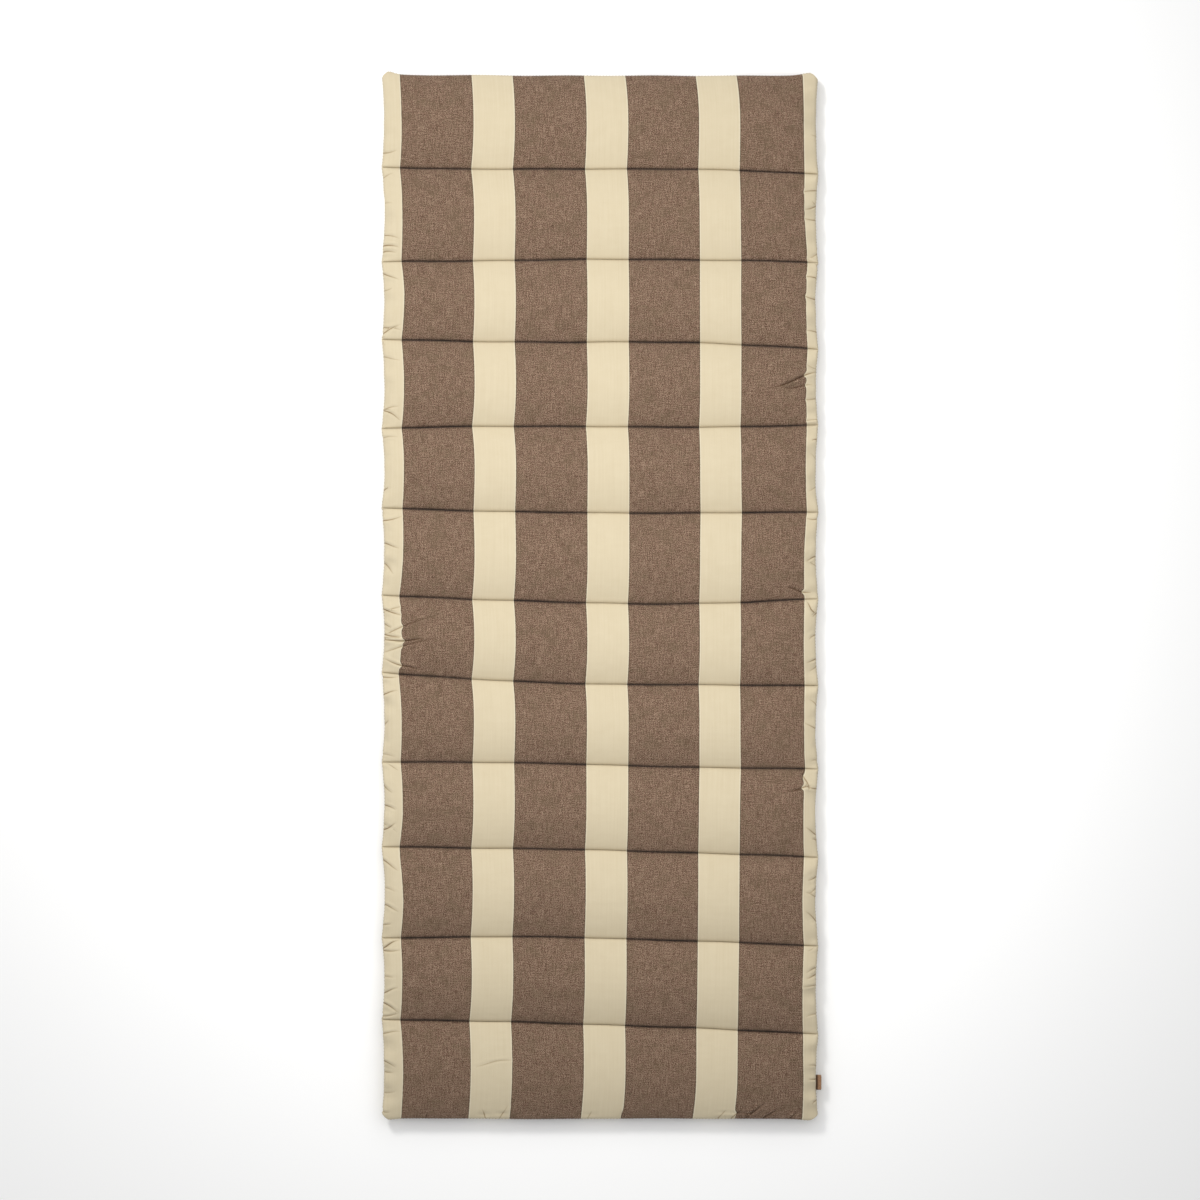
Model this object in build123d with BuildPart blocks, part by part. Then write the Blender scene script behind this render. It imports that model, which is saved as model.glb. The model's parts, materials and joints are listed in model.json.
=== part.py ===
from build123d import *
from math import cos, radians, sin, atan2, sqrt
import os

# A futon mattress: two striped cotton panels, sewn together all round over a layer of fibre
# fill, and quilted across the width into channels. The quilting rows are where it folds, so
# each channel is a body of its own and each row of thread is the hinge between two of them.
# Millimetres. +Z is up, +Y is the head end, and the mattress lies on Z = 0.

# Overall size
width = 750.0
thickness = 48.0

# Quilting, from the head to the foot: where the cloth is sewn down between the channels
channel_depths = [162.0, 157.0, 142.0, 145.0, 147.0, 154.0, 140.0, 143.0, 148.0, 153.0, 148.0, 161.0]
quilting_skew = 11.4  # a row is this much nearer the foot at the right edge than at the left

# Section of a channel: two bulges that meet at the sewn rows
seam_height = 22.0  # the sewn rows and the edge seam above the floor
belly_drop = 26.0  # how far the underside would bulge below the rows if no floor flattened it
hinge_gap = 0.8  # the cloth on each side stays this far from the row's axis

# Section across the edges: the thickness runs out to a sewn knife edge all round
edge_roll = 60.0  # the edge's curve starts this far in
edge_headroom = 2.0  # the curve's shoulder stands this far over the channels

# Cloth and filling
cloth = 0.9
fill_gap = 0.5  # between the cloth and the fill
fill_setback = 6.5  # the fill stops this far inside the edge seam

# Thread
quilting_thread_radius = 0.45
edge_thread_radius = 0.4
edge_thread_inset = 3.0  # from the knife edge to the thread's axis
thread_break = 3.0  # the edge thread stops this far from a row, so that the row can fold

# Woven tag, folded double and caught in the right edge seam of the foot channel
tag_length = 26.0
tag_reach = 9.0  # out of the seam
tag_root = 5.5  # into the seam
tag_cloth = 0.5
tag_loop = 1.0  # clear height between its two layers, round the edge thread
tag_clearance = 0.1
tag_from_foot = 62.0  # from the foot edge to its middle

channel_count = len(channel_depths)
length = sum(channel_depths)
crown_rise = thickness - seam_height
edge_rise = max(crown_rise, belly_drop) + edge_headroom
row_angle = atan2(quilting_skew, width)

# Where the rows cross the middle of the mattress; the first and last are the two end edges
row_y = [length / 2 - sum(channel_depths[:count]) for count in range(channel_count + 1)]

along_rows = (cos(row_angle), -sin(row_angle), 0)
across_rows = (sin(row_angle), cos(row_angle), 0)
row_section = Plane(origin=(0, 0, seam_height), x_dir=across_rows, z_dir=along_rows)
side_section = Plane(origin=(0, 0, seam_height), x_dir=(1, 0, 0), z_dir=(0, -1, 0))
end_section = Plane(origin=(0, 0, seam_height), x_dir=(0, 1, 0), z_dir=(1, 0, 0))


def arc_radius(half_span, rise):
    """Radius of the arc that rises this much over twice this half span."""
    return (half_span**2 + rise**2) / (2 * rise)


def row_y_at(row, x):
    """Where a row crosses the line at x. The two end edges aren't skewed."""
    if row in (0, channel_count):
        return row_y[row]
    return row_y[row] - x * quilting_skew / width


def channel_span(channel):
    """The channel's two rows, measured square to the rows. The end channels run past the end
    edges, which cut them off."""
    head, foot = row_y[channel], row_y[channel + 1]
    if channel == 0:
        head += quilting_skew
    if channel == channel_count - 1:
        foot -= quilting_skew
    return head * cos(row_angle), foot * cos(row_angle)


def pillow_section(plane, span, inset):
    """The whole mattress in section, coming to a point at both edges, with its cloth's
    outside moved in by the inset."""
    radius = arc_radius(edge_roll, edge_rise) - inset
    rise = edge_rise - inset
    reach = sqrt(radius**2 - (radius - rise) ** 2)
    shoulder = span / 2 - edge_roll
    with BuildSketch(plane) as section:
        with BuildLine():
            Line((-shoulder, rise), (shoulder, rise))
            TangentArc((shoulder, rise), (shoulder + reach, 0), tangent=(1, 0))
            TangentArc((-shoulder, rise), (-shoulder - reach, 0), tangent=(-1, 0))
            mirror(about=Plane.XZ)
        make_face()
    return section.sketch


def channel_solid(channel, inset):
    """One stuffed channel, with its cloth's outside moved in by the inset."""
    head, foot = channel_span(channel)
    half = (head - foot) / 2
    middle = (head + foot) / 2
    crown = arc_radius(half, crown_rise)
    belly = arc_radius(half, belly_drop)
    side = pillow_section(side_section, width, inset)
    end = pillow_section(end_section, length, inset)
    with BuildPart() as solid:
        with BuildSketch(row_section):
            with Locations((middle, crown_rise - crown)):
                Circle(crown - inset)
            with Locations((middle, belly - belly_drop)):
                Circle(belly - inset, mode=Mode.INTERSECT)
            with Locations((middle, inset - seam_height)):
                Rectangle(
                    2 * (half - hinge_gap),
                    thickness,
                    align=(Align.CENTER, Align.MIN),
                    mode=Mode.INTERSECT,
                )
        extrude(amount=width, both=True)
        extrude(side, amount=length, both=True, mode=Mode.INTERSECT)
        if channel in (0, channel_count - 1):
            extrude(end, amount=width, both=True, mode=Mode.INTERSECT)
    return solid.part


def panel(channel, keep):
    """The cloth over or under one channel."""
    outside = channel_solid(channel, 0)
    inside = channel_solid(channel, cloth)
    with BuildPart() as skin:
        add(outside)
        add(inside, mode=Mode.SUBTRACT)
        split(bisect_by=Plane.XY.offset(seam_height), keep=keep)
        if channel == channel_count - 1:
            with Locations((width / 2 - tag_root, tag_y, seam_height)):
                Box(
                    tag_root + tag_reach,
                    tag_length + 2 * tag_clearance,
                    tag_height + 2 * tag_clearance,
                    align=(Align.MIN, Align.CENTER, Align.CENTER),
                    mode=Mode.SUBTRACT,
                )
    return skin.part


def thread(start, end, radius):
    """A straight run of thread between two points."""
    run = Vector(*end) - Vector(*start)
    with BuildPart() as strand:
        with BuildSketch(Plane(origin=start, z_dir=run)):
            Circle(radius)
        extrude(amount=run.length)
    return strand.part


def side_thread(channel, x):
    """The edge thread down one side of one channel."""
    end_stop = edge_thread_inset + thread_break
    head = row_y_at(channel, x) - thread_break
    foot = row_y_at(channel + 1, x) + thread_break
    head = min(head, length / 2 - end_stop)
    foot = max(foot, end_stop - length / 2)
    return thread((x, head, seam_height), (x, foot, seam_height), edge_thread_radius)


def end_thread(y):
    """The edge thread across one end."""
    x = width / 2 - edge_thread_inset
    return thread((-x, y, seam_height), (x, y, seam_height), edge_thread_radius)


def save(part, name):
    part.label = name
    export_step(part, f"parts/{name}.step")


tag_height = tag_loop + 2 * tag_cloth
tag_y = tag_from_foot - length / 2
edge_x = width / 2 - edge_thread_inset
edge_y = length / 2 - edge_thread_inset

os.makedirs("parts", exist_ok=True)

for channel in range(channel_count):
    number = f"{channel + 1:02d}"

    with BuildPart() as top_panel:
        add(panel(channel, Keep.TOP))
    save(top_panel.part, f"top_panel_{number}")

    with BuildPart() as bottom_panel:
        add(panel(channel, Keep.BOTTOM))
    save(bottom_panel.part, f"bottom_panel_{number}")

    filling = channel_solid(channel, cloth + fill_gap)
    with BuildPart() as fibre_fill:
        add(filling)
        Box(
            width - 2 * fill_setback,
            length - 2 * fill_setback,
            2 * thickness,
            mode=Mode.INTERSECT,
        )
    save(fibre_fill.part, f"fibre_fill_{number}")

    runs = [side_thread(channel, -edge_x), side_thread(channel, edge_x)]
    if channel == 0:
        runs.append(end_thread(edge_y))
    if channel == channel_count - 1:
        runs.append(end_thread(-edge_y))
    with BuildPart() as edge_seam:
        add(runs)
    save(edge_seam.part, f"edge_seam_{number}")

for row in range(1, channel_count):
    row_end = width / 2 - quilting_thread_radius
    row_thread = thread(
        (-row_end, row_y_at(row, -row_end), seam_height),
        (row_end, row_y_at(row, row_end), seam_height),
        quilting_thread_radius,
    )
    with BuildPart() as quilting_seam:
        add(row_thread)
    save(quilting_seam.part, f"quilting_seam_{row:02d}")

with BuildPart() as side_tag:
    with BuildSketch(Plane.XZ.offset(-tag_y)):
        with Locations((width / 2 - tag_root, seam_height)):
            Rectangle(
                tag_root + tag_reach - tag_height / 2,
                tag_height,
                align=(Align.MIN, Align.CENTER),
            )
        with Locations((width / 2 + tag_reach - tag_height / 2, seam_height)):
            Circle(tag_height / 2)
            Circle(tag_loop / 2, mode=Mode.SUBTRACT)
        with Locations((width / 2 - tag_root, seam_height)):
            Rectangle(
                tag_root + tag_reach - tag_height / 2,
                tag_loop,
                align=(Align.MIN, Align.CENTER),
                mode=Mode.SUBTRACT,
            )
    extrude(amount=tag_length / 2, both=True)
save(side_tag.part, "side_tag")
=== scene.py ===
# %% [markdown]
# # A striped, quilted futon mattress
# Two panels of striped cotton are sewn together all round over a layer of fibre fill, and
# rows of thread sewn right through hold the fill in channels. This notebook makes the cloth,
# the thread and the tag over a plain CAD model, which gives every size and every hinge.

# %% Load the CAD frame
import json
import math

import bmesh
import bpy
import numpy as np
from mathutils import Matrix, Vector


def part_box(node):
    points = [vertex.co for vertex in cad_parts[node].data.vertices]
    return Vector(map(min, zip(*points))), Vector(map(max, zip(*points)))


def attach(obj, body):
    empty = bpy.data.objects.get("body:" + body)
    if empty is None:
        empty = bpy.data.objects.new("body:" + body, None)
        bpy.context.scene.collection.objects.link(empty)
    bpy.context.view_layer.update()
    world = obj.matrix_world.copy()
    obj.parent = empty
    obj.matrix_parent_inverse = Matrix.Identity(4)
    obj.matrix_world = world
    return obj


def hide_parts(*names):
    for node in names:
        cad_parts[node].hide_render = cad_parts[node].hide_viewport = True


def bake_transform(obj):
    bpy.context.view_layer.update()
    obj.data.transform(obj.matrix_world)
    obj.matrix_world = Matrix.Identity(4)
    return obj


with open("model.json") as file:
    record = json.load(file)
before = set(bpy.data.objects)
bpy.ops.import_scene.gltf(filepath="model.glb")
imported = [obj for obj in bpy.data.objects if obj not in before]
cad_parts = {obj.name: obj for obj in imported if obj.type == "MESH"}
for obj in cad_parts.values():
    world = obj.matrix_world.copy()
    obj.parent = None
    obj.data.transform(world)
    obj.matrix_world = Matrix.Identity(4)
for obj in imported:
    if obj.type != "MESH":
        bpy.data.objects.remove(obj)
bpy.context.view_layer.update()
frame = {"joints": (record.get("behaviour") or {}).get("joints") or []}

# %% [markdown]
# The real mattress folds where it is sewn through, so the CAD model has one body for each
# channel and one hinge for each row. Everything below is placed from those hinges: a row
# that moves in the CAD moves here too.

# %% Rows, bodies and overall sizes
hinges = sorted(frame["joints"], key=lambda joint: joint["name"])
channel_count = len(hinges) + 1
bodies = [f"channel_{channel + 1:02d}" for channel in range(channel_count)]
half_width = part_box("top_panel_02")[1].x
half_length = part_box("top_panel_01")[1].y
crown_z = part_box("top_panel_02")[1].z
sewn_z = hinges[0]["pos_m"][2]
row_y = [half_length] + [hinge["pos_m"][1] for hinge in hinges] + [-half_length]
MM = 0.001
print(channel_count, "channels,", round(2 * half_width, 3), "x", round(2 * half_length, 3), "m")

# %% [markdown]
# A row is sewn by hand guiding under a long-arm machine, so it isn't quite straight or quite
# square to the edge. The CAD hinges share one direction; the sewn lines wander about them by
# a few millimetres. A list of how far each one runs, and a few slow waves, say that best.

# %% The sewn lines
row_run = [0, 12, 1, 17, -6, 7, 6, 23, 12, 18, 14, 25, 0]  # mm nearer the foot at the right
row_bow = [0, 2, 5, 3, 1, -5, -11, -9, 2, 4, 7, 3, 0]  # mm nearer the foot at both sides
row_snake = [0, -3, -1, -3, 2, 0, 2, -2, 1, 0, 0, 0, 0]  # mm of one wave across the width
wander = 0.5 * MM
wander_waves = (9.0, 17.0, 41.0)  # radians per metre
row_seed = 100
end_reach = 1 * MM  # the ends stand out by this


def is_end(row):
    return row in (0, channel_count)


def row_line(row, x):
    """Where a sewn row crosses the lines at x, along the length."""
    u = x / half_width
    draw = np.random.default_rng(row_seed + row)
    bow = row_bow[row] * (u**2 - 1 / 3)
    to_foot = row_run[row] / 2 * u + bow + row_snake[row] * np.sin(math.pi * u)
    y = row_y[row] - to_foot * MM
    if is_end(row):
        y = y + math.copysign(end_reach, row_y[row])
    for wave in wander_waves:
        y = y + wander * draw.uniform(0.4, 1.0) * np.sin(wave * x + draw.uniform(0, 6.3))
    return y


right_ends = [row_line(row, half_width) - row_y[row] for row in range(channel_count + 1)]
print("rows at the right edge, mm:", [round(float(end) * 1000) for end in right_ends])

# %% [markdown]
# Cloth is cut flat and a little too long, because the fill pushes each channel up into a
# bulge. The spare length along the two side edges has nowhere to go but into puckers, and
# that is what makes the edge of a quilted mattress look sewn.

# %% Cut sizes of the cloth
cut_half = half_width + 6 * MM  # half the width of the flat cloth
ease = 0.085  # spare length of each channel, as a share
edge_gather = 0.04  # more of it along the side edges
gather_reach = 60 * MM
edge_roll = 75 * MM  # the padding thins out over this much at the sides
row_reach = 2 * MM  # how far the edge stands out at the rows
side_pull = 4 * MM  # how far it draws in between them
ears = ((6.5 * MM, 4 * MM), (2 * MM, 3 * MM))  # the corners stand out: head left, right; foot
ear_width = 24 * MM
corner_radius = 9 * MM
thread_depth = 8 * MM  # the crowns are this much lower before the sewn-in details are added
arc_power = 0.8  # below 1 the channels are fuller than a parabola
print("cloth cut", round(2 * cut_half, 3), "m wide")

# %% [markdown]
# The machine's foot drags the cloth a little to the left at every row, and cloth guided by
# hand drifts. Stripes show it: they bow, shift at each row, and the side bands vary in width.

# %% How the cloth drifts
# mm to the left at each row
row_drag = [0, 3.2, 1, 1.2, 3, 0.5, 2.5, 3, 0.6, 1.8, 1.2, 2, 0]
end_drag, end_shear = 4.5 * MM, 5 * MM  # the same at the two ends, and how it grows to the right
# mm to the right at each row, near each side
left_slip = [0, 0, 2, 1, 1, 3, -2, -3, -1, 1, 4, 4, 6]
right_slip = [0, -2, 3, 4, 5, 0, -3, -2, -1, -4, -6, -4, 2]
slip_start, slip_grow = 0.7, 0.2  # where the slip starts and grows
band_drift = 2.5 * MM  # how much each side band widens and narrows
band_seeds = (7, 8)  # left, right
bow_most, bow_y, bow_bend = 2, 0.25, 5.9  # the stripes' bow: mm, m from the middle, mm per m2
still_power = 12  # how sharply the drift stops at the side edges


def channel_y(channel, x, t):
    """Along the length inside a channel: t is 0 at its head row and 1 at its foot row."""
    head = row_line(channel, x)
    foot = row_line(channel + 1, x)
    return head + (foot - head) * t


def drag_at(row, u):
    """How far the cloth lies to the left of its place at a row or an end."""
    return end_drag + end_shear * u if is_end(row) else row_drag[row] * MM + 0 * u


def drift(y, u):
    """How far the stripes lie to the right: a slow bow, and the bands at the sides."""
    knots = np.linspace(half_length, -half_length, 2 * channel_count + 1)[::-1]
    draws = [np.random.default_rng(seed).uniform(-1, 1, len(knots)) for seed in band_seeds]
    band = np.where(u < 0, np.interp(y, knots, draws[0]), np.interp(y, knots, draws[1]))
    near_edge = np.clip((np.abs(u) - slip_start) / slip_grow, 0, 1)
    places = np.array(row_y)[::-1]
    slips = [np.interp(y, places, side[::-1]) for side in (left_slip, right_slip)]
    slip = np.where(u < 0, *slips)
    bow = bow_most - bow_bend * (y - bow_y) ** 2
    return (bow + slip * near_edge) * MM + band_drift * band * near_edge


print("the stripes' bow at the head, mm:", round(float(drift(half_length, 0.0)) * 1000, 1))

# %% [markdown]
# A stuffed channel is an arch between two rows that thins out to the sewn edge at both
# sides. The simulation starts from one formula for a point's place on the stuffed mattress
# and one for its place on the cut cloth.

# %% Stuffed shape and cut shape
def stuffed(channel, side, u, t):
    """A first guess at the stuffed shape. side is 1 for the top cloth, -1 for the underside."""
    arc = 1 - (2 * t - 1) ** 2
    into_edge = np.clip(1 - (1 - np.abs(u)) * cut_half / edge_roll, 0, 1)
    shoulder = 0.5 * np.sqrt(1 - into_edge**2) + 0.5 * (1 - into_edge**2)
    rise = crown_z - sewn_z - thread_depth if side > 0 else sewn_z
    y = channel_y(channel, u * cut_half, t)
    dragged = (1 - arc) * np.where(t < 0.5, drag_at(channel, u), drag_at(channel + 1, u))
    inside = 1 - np.abs(u) ** still_power
    x = u * (half_width + row_reach - side_pull * arc) + (drift(y, u) - dragged) * inside
    from_side = (1 - np.abs(u)) * cut_half
    ear = 1 / (1 + (from_side / ear_width) ** 4)
    for end, row, to_end in ((0, 0, 1 - t), (1, channel_count, t)):
        if row not in (channel, channel + 1):
            continue
        outward = 1 if end == 0 else -1
        y = y + outward * np.where(u < 0, *ears[end]) * ear * to_end**3
        from_end = (1 - to_end) * (row_y[channel] - row_y[channel + 1])
        for gap, other, direction in ((from_side, from_end, 0), (from_end, from_side, 1)):
            short = np.clip(corner_radius - gap, 0, corner_radius)
            inset = corner_radius - np.sqrt(corner_radius**2 - short**2)
            inset = inset * np.exp(-other / corner_radius)
            if direction == 0:
                y = y - outward * inset
            else:
                x = x - np.sign(u) * inset
    z = sewn_z + side * rise * shoulder * arc**arc_power
    return np.stack([x, y, z], -1)


def cut_flat(channel, u, t):
    """The same point on the cloth as it was cut."""
    x = u * cut_half
    middle = channel_y(channel, x, 0.5)
    near_edge = np.clip(1 - (1 - np.abs(u)) * cut_half / gather_reach, 0, 1)
    spare = 1 + ease + edge_gather * near_edge
    y = middle + (channel_y(channel, x, t) - middle) * spare
    return np.stack([x, y, np.full_like(x, sewn_z)], -1)


crown = stuffed(1, 1, np.array(0.0), np.array(0.5))
print("first guess at a crown, m:", round(float(crown[2]), 4))

# %% [markdown]
# A channel is two sheets joined round their border, like a pillow. Both are bmesh grids, and
# merging the doubled border verts sews them together. Each vert remembers its column, step
# and side, so that a simulated or a finer shape can be read back or put on by its place.

# %% A pillow from two grids
PLACE_LAYERS = ("column", "step", "side", "channel")


def add_pillow(bm, channel, columns, steps, place):
    """Adds a closed pillow whose verts stand at place(side)[step, column]."""
    ints = bm.verts.layers.int
    layers = [ints.get(name) or ints.new(name) for name in PLACE_LAYERS]
    both = []
    for side in (1, -1):
        made = bmesh.ops.create_grid(bm, x_segments=columns - 1, y_segments=steps - 1, size=0.5)
        points = place(side)
        for vert in made["verts"]:
            column = round((vert.co.x + 0.5) * (columns - 1))
            step = round((0.5 - vert.co.y) * (steps - 1))
            for layer, value in zip(layers, (column, step, side, channel)):
                vert[layer] = value
            vert.co = points[step, column]
        if side < 0:
            faces = {face for vert in made["verts"] for face in vert.link_faces}
            bmesh.ops.reverse_faces(bm, faces=list(faces))
        both += made["verts"]
    bmesh.ops.remove_doubles(bm, verts=both, dist=0.01 * MM)


def place_values(mesh):
    """Each vert's column, step, side and channel, as four arrays."""
    found = []
    for name in PLACE_LAYERS:
        values = np.zeros(len(mesh.vertices), np.int32)
        mesh.attributes[name].data.foreach_get("value", values)
        found.append(values)
    return found


def coordinates(mesh):
    values = np.zeros(len(mesh.vertices) * 3, np.float32)
    mesh.vertices.foreach_get("co", values)
    return values.reshape(-1, 3).astype(float)


def to_object(bm, name):
    """A new object from a bmesh, in the scene, smooth shaded."""
    mesh = bpy.data.meshes.new(name)
    bm.to_mesh(mesh)
    bm.free()
    mesh.polygons.foreach_set("use_smooth", [True] * len(mesh.polygons))
    piece = bpy.data.objects.new(name, mesh)
    bpy.context.scene.collection.objects.link(piece)
    return piece


# %% [markdown]
# The stuffing is simulated. It starts from the first guess, with a small ripple along the
# sides, because perfectly even cloth wouldn't know which way to pucker. All channels are in
# one mesh, because pinned rows keep them apart anyway.

# %% The mesh to simulate
def spread(count, crowding):
    """Numbers from -1 to 1, closer together towards both ends."""
    even = np.linspace(-1, 1, count + 1)
    return np.sign(even) * (1 - (1 - np.abs(even)) ** crowding)


sim_u = spread(110, 1.35)  # columns, closer together at the sides
sim_t = np.linspace(0, 1, 27)  # steps from row to row
ripple_height = 4 * MM
ripple_reach = 20 * MM
ripple_waves = range(3, 11)  # half waves along the side of a channel
ripple_seed = 1000


def start_mesh():
    """All channels as one mesh, with a small ripple along the side edges to start puckers."""
    bm = bmesh.new()
    u, t = np.meshgrid(sim_u, sim_t)
    for channel in range(channel_count):
        draw = np.random.default_rng(ripple_seed + channel)
        near_edge = np.exp(-(((1 - np.abs(u)) * cut_half / ripple_reach) ** 2))
        ripple = sum(
            np.where(u < 0, draw.normal(), draw.normal()) * np.sin(math.pi * wave * t)
            for wave in ripple_waves
        )
        ripple = ripple_height * ripple / np.abs(ripple).max() * near_edge

        def place(side):
            points = stuffed(channel, side, u, t)
            points[..., 2] += ripple
            return points

        add_pillow(bm, channel, len(sim_u), len(sim_t), place)
    return to_object(bm, "stuffing")


start = start_mesh()
print("to simulate:", len(start.data.vertices), "verts")

# %% [markdown]
# Blender's Cloth takes the cut cloth as its rest shape, so that it wants to be longer than
# the mattress, and air pressure stands for the fill. The rows are pinned and everything else
# is held only loosely to its place. Each point's move is capped, so that no bulge runs away.

# %% Simulate the stuffing
sim_frames = 16
hold_loose = 0.02
hold_end = 0.9  # along the two end edges
hold_corner = 0.5  # along the side edges of the two end channels
largest_move = 12 * MM


def pin_weights(column, step, channel):
    """1 at the rows and the four corners, less along the two ends, little elsewhere."""
    at_head = step == 0
    at_foot = step == len(sim_t) - 1
    at_side = (column == 0) | (column == len(sim_u) - 1)
    end = (at_head & (channel == 0)) | (at_foot & (channel == channel_count - 1))
    in_end = (channel == 0) | (channel == channel_count - 1)
    weights = np.where(end, hold_end, np.where(at_side & in_end, hold_corner, hold_loose))
    weights[(at_head | at_foot) & ~end] = 1
    weights[end & at_side] = 1
    return weights


def read_back(points, column, step, side, channel):
    """The verts as grids: [channel, side, step, column, xyz], side 0 the top."""
    grids = np.full((channel_count, 2, len(sim_t), len(sim_u), 3), np.nan)
    grids[channel, (side < 0).astype(int), step, column] = points
    return np.where(np.isnan(grids), grids[:, ::-1], grids)  # the border belongs to both sheets


def simulate(piece):
    """Runs Cloth on the mesh and returns where its verts end up."""
    column, step, side, channel = place_values(piece.data)
    before = coordinates(piece.data)
    piece.shape_key_add(name="Basis")
    cut = piece.shape_key_add(name="cut")
    flat = np.zeros_like(before)
    for number in range(channel_count):
        mine = channel == number
        flat[mine] = cut_flat(number, sim_u[column[mine]], sim_t[step[mine]])
    cut.data.foreach_set("co", flat.ravel())
    cut.value = 0
    pins = piece.vertex_groups.new(name="pins")
    weights = pin_weights(column, step, channel)
    for weight in np.unique(weights):
        pins.add(np.flatnonzero(weights == weight).tolist(), float(weight), "REPLACE")
    cloth = piece.modifiers.new("stuffing", "CLOTH")
    settings = cloth.settings
    settings.quality = 5
    settings.mass = 0.25
    settings.air_damping = 1
    settings.tension_stiffness = settings.compression_stiffness = 25
    settings.shear_stiffness = 8
    settings.bending_stiffness = 0.3
    settings.tension_damping = settings.compression_damping = 10
    settings.shear_damping = 8
    settings.bending_damping = 1
    settings.use_pressure = True
    settings.uniform_pressure_force = 3
    settings.vertex_group_mass = pins.name
    settings.rest_shape_key = cut
    settings.effector_weights.gravity = 0
    cloth.collision_settings.use_collision = False
    cloth.point_cache.frame_end = sim_frames
    for number in range(1, sim_frames + 1):
        bpy.context.scene.frame_set(number)
    shaped = piece.evaluated_get(bpy.context.evaluated_depsgraph_get())
    after = coordinates(shaped.data)
    bpy.context.scene.frame_set(1)
    moved = after - before
    reach = np.linalg.norm(moved, axis=1, keepdims=True)
    print("moved by up to", round(float(reach.max()) * 1000, 1), "mm")
    return before + moved * np.minimum(1, largest_move / np.maximum(reach, 1e-9))


def stuffing_grids(piece):
    places = place_values(piece.data)
    points = simulate(piece)
    bpy.data.objects.remove(piece)
    return read_back(points, *places)


grids = stuffing_grids(start)
lowest, highest = grids[..., 2].min(), grids[..., 2].max()
print("stuffed from z", round(float(lowest), 4), "to", round(float(highest), 4))

# %% [markdown]
# The simulated grid is coarse. A smooth curve through its points, first along the steps and
# then along the columns, gives the finer grid that the sewn details need. Both sheets share
# their border, so the finer border comes out the same on both.

# %% Resample the simulated shape
row_steps = np.array([0, 0.7, 1.5, 2.8, 4.6]) * MM  # extra steps beside a row, from it
fine_pitch = 1.9 * MM
side_zone = 105  # mm from each side, where columns are closer


def fine_columns():
    """u for each column: 3 mm apart near the side edges, 8 mm apart further in."""
    near = np.arange(8, side_zone, 3) * MM
    inner = np.linspace(side_zone * MM, cut_half, 35)
    from_side = np.concatenate([row_steps, near, inner])
    half = from_side / cut_half - 1
    return np.concatenate([half, -half[-2::-1]])


fine_u = fine_columns()


def through(values, old, new):
    """A smooth curve through values at old, read at new. It runs along the first axis."""
    slopes = np.gradient(values, old, axis=0)
    at = np.clip(np.searchsorted(old, new, side="right") - 1, 0, len(old) - 2)
    width = old[at + 1] - old[at]
    shape = (-1,) + (1,) * (values.ndim - 1)
    s = ((new - old[at]) / width).reshape(shape)
    width = width.reshape(shape)
    return (
        (1 + 2 * s) * (1 - s) ** 2 * values[at]
        + s * (1 - s) ** 2 * width * slopes[at]
        + s**2 * (3 - 2 * s) * values[at + 1]
        - s**2 * (1 - s) * width * slopes[at + 1]
    )


def fine_steps(channel):
    """t for each step of the finer grid, close together beside both rows."""
    depth = row_y[channel] - row_y[channel + 1]
    beside = row_steps / depth
    inner = (depth - 2 * row_steps[-1]) / fine_pitch
    middle = np.linspace(beside[-1], 1 - beside[-1], round(inner) + 1)[1:-1]
    return np.concatenate([beside, middle, 1 - beside[::-1]])


def finer(channel, side, steps):
    """One sheet of one channel on the finer grid, [step, column, xyz]."""
    coarse = grids[channel, 0 if side > 0 else 1]
    along = through(coarse, sim_t, steps)
    return through(along.swapaxes(0, 1), sim_u, fine_u).swapaxes(0, 1)


print("a channel's finer grid:", len(fine_steps(1)), "steps x", len(fine_u), "columns")

# %% [markdown]
# Where the spare cloth is caught in the edge seam it lies in small tucks. They are too narrow
# for the coarse simulation, so each is a line with a valley along it and a ridge on either
# side. The large ones have places of their own, and a few small ones fill in between.

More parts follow.
